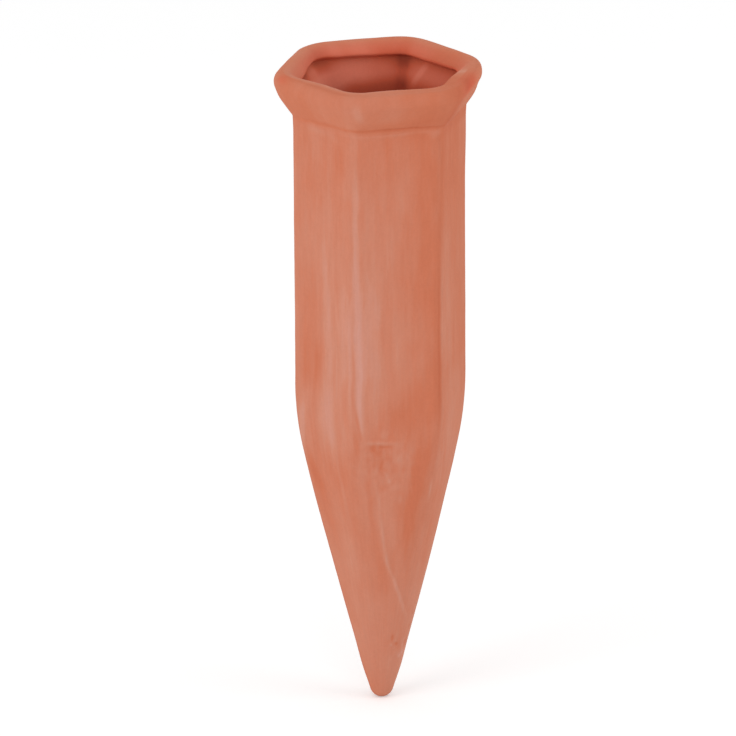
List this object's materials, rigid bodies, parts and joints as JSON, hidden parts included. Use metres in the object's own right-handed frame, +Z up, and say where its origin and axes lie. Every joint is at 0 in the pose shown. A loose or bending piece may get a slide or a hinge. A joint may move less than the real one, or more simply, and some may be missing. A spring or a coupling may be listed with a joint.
{
  "type": "self watering spike",
  "caption": "Hollow six-sided terracotta spike: flared rim and funnel mouth for an upturned bottle, straight barrel, and a taper that turns round and ends in a blunt point.",
  "frame": {"origin": "the lowest point of the spike's tip, on the axis of the hexagon", "axes": "+Z up the axis from the tip to the mouth, +X through a corner of the hexagon, +Y square to a flat"},
  "size_m": [0.055, 0.05, 0.17],
  "materials": {
    "terracotta": "unglazed, matt, with pale wiping streaks"
  },
  "bodies": {
    "root": {"flared_rim": "terracotta", "hex_barrel": "terracotta", "pointed_tip": "terracotta"}
  },
  "joints": []
}
